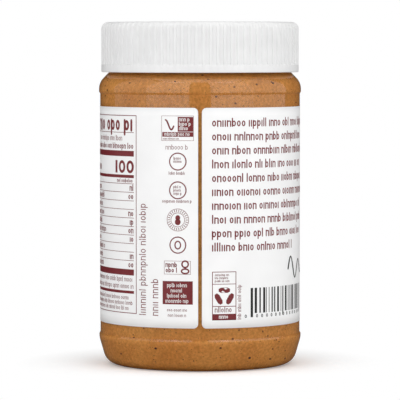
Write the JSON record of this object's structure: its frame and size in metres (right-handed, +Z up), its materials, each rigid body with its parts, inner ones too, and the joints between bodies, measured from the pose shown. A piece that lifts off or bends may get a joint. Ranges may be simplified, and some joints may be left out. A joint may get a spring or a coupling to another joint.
{
  "type": "peanut butter jar",
  "caption": "Shut clear plastic jar full of peanut butter, with a ribbed white screw lid and a wrap-round printed label.",
  "frame": {"origin": "middle of the base, on the plane that the jar stands on", "axes": "+Z up along the jar's axis of symmetry; -Y faces the side where the two ends of the label meet"},
  "size_m": [0.089, 0.089, 0.1507],
  "materials": {
    "clear_plastic": "clear blown PET, glossy",
    "peanut_butter": "smooth peanut butter with fine dark specks",
    "lid_plastic": "white moulded polypropylene, satin",
    "label_film": "white coated label, printed in dark red and black"
  },
  "bodies": {
    "root": {"jar": "clear_plastic", "peanut_butter": "peanut_butter", "lid": "lid_plastic", "label": "label_film"}
  },
  "joints": []
}
